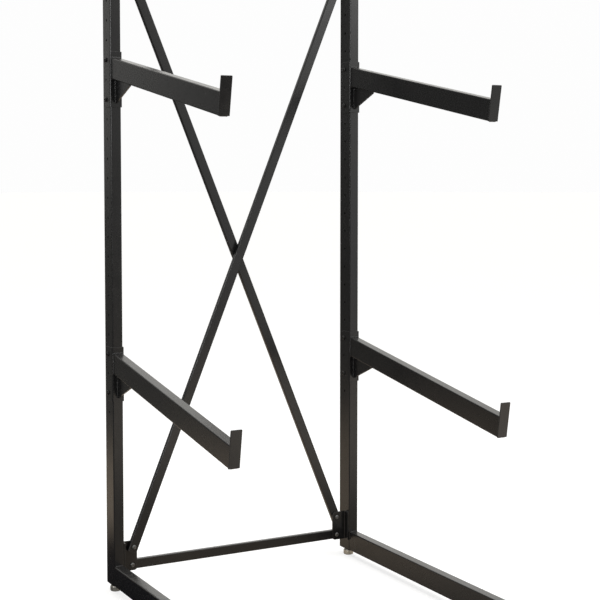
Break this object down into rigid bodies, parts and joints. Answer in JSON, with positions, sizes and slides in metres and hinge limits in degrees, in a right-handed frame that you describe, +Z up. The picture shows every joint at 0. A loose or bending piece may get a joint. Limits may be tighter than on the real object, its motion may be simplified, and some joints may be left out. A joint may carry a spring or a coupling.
{
  "type": "clothing rack",
  "caption": "Free-standing bolted steel display rack: punched uprights on long feet, cross braces, and sloping arms with upturned end stops for hanging clothes.",
  "frame": {"origin": "on the floor, in the middle of the rack's bounding box", "axes": "+X along the crossbars to the viewer's right, -Y the way the arms and feet point, +Z up"},
  "size_m": [0.7552, 0.8213, 1.7358],
  "materials": {
    "powder_coat": "satin black powder coat with a fine texture",
    "black_fasteners": "black zinc plated steel, semi-gloss",
    "zinc": "pale zinc plated steel",
    "black_plastic": "matt moulded polyethylene"
  },
  "bodies": {
    "frame": {"upright_left": "powder_coat", "base_leg_left": "powder_coat", "upright_cap_left": "black_plastic", "leg_cap_left": "black_plastic", "foot_nut_upright_left": "black_plastic", "foot_nut_leg_left": "zinc", "upright_right": "powder_coat", "base_leg_right": "powder_coat", "upright_cap_right": "black_plastic", "leg_cap_right": "black_plastic", "foot_nut_upright_right": "black_plastic", "foot_nut_leg_right": "zinc", "crossbar_lower": "powder_coat", "corner_bracket_lower_left": "powder_coat", "bar_bolt_lower_left": "zinc", "brace_bolt_lower_left": "zinc", "corner_bracket_lower_right": "powder_coat", "bar_bolt_lower_right": "zinc", "brace_bolt_lower_right": "zinc", "crossbar_upper": "powder_coat", "corner_bracket_upper_left": "powder_coat", "bar_bolt_upper_left": "zinc", "brace_bolt_upper_left": "zinc", "corner_bracket_upper_right": "powder_coat", "bar_bolt_upper_right": "zinc", "brace_bolt_upper_right": "zinc", "brace_front": "powder_coat", "brace_rear": "powder_coat"},
    "arm_upper_left": {"arm_saddle_upper_left": "powder_coat", "arm_tube_upper_left": "powder_coat", "arm_gusset_upper_left": "powder_coat", "arm_end_stop_upper_left": "powder_coat", "arm_bolt_upper_left_low": "black_fasteners", "arm_bolt_upper_left_high": "black_fasteners"},
    "arm_upper_right": {"arm_saddle_upper_right": "powder_coat", "arm_tube_upper_right": "powder_coat", "arm_gusset_upper_right": "powder_coat", "arm_end_stop_upper_right": "powder_coat", "arm_bolt_upper_right_low": "black_fasteners", "arm_bolt_upper_right_high": "black_fasteners"},
    "arm_lower_left": {"arm_saddle_lower_left": "powder_coat", "arm_tube_lower_left": "powder_coat", "arm_gusset_lower_left": "powder_coat", "arm_end_stop_lower_left": "powder_coat", "arm_bolt_lower_left_low": "black_fasteners", "arm_bolt_lower_left_high": "black_fasteners"},
    "arm_lower_right": {"arm_saddle_lower_right": "powder_coat", "arm_tube_lower_right": "powder_coat", "arm_gusset_lower_right": "powder_coat", "arm_end_stop_lower_right": "powder_coat", "arm_bolt_lower_right_low": "black_fasteners", "arm_bolt_lower_right_high": "black_fasteners"},
    "levelling_foot_back_left": {"foot_back_left": "zinc"},
    "levelling_foot_back_right": {"foot_back_right": "zinc"},
    "levelling_foot_front_left": {"foot_front_left": "zinc"},
    "levelling_foot_front_right": {"foot_front_right": "zinc"}
  },
  "joints": [
    {"name": "height_arm_upper_left", "type": "slide", "parent": "frame", "child": "arm_upper_left", "axis": [0, 0, 1], "range_m": [-0.1016, 0.2032]},
    {"name": "height_arm_upper_right", "type": "slide", "parent": "frame", "child": "arm_upper_right", "axis": [0, 0, 1], "range_m": [-0.1016, 0.2032]},
    {"name": "height_arm_lower_left", "type": "slide", "parent": "frame", "child": "arm_lower_left", "axis": [0, 0, 1], "range_m": [-0.0508, 0.254]},
    {"name": "height_arm_lower_right", "type": "slide", "parent": "frame", "child": "arm_lower_right", "axis": [0, 0, 1], "range_m": [-0.0508, 0.254]},
    {"name": "height_foot_back_left", "type": "slide", "parent": "frame", "child": "levelling_foot_back_left", "axis": [0, 0, -1], "range_m": [-0.003, 0.012]},
    {"name": "height_foot_back_right", "type": "slide", "parent": "frame", "child": "levelling_foot_back_right", "axis": [0, 0, -1], "range_m": [-0.003, 0.012]},
    {"name": "height_foot_front_left", "type": "slide", "parent": "frame", "child": "levelling_foot_front_left", "axis": [0, 0, -1], "range_m": [-0.003, 0.012]},
    {"name": "height_foot_front_right", "type": "slide", "parent": "frame", "child": "levelling_foot_front_right", "axis": [0, 0, -1], "range_m": [-0.003, 0.012]}
  ]
}
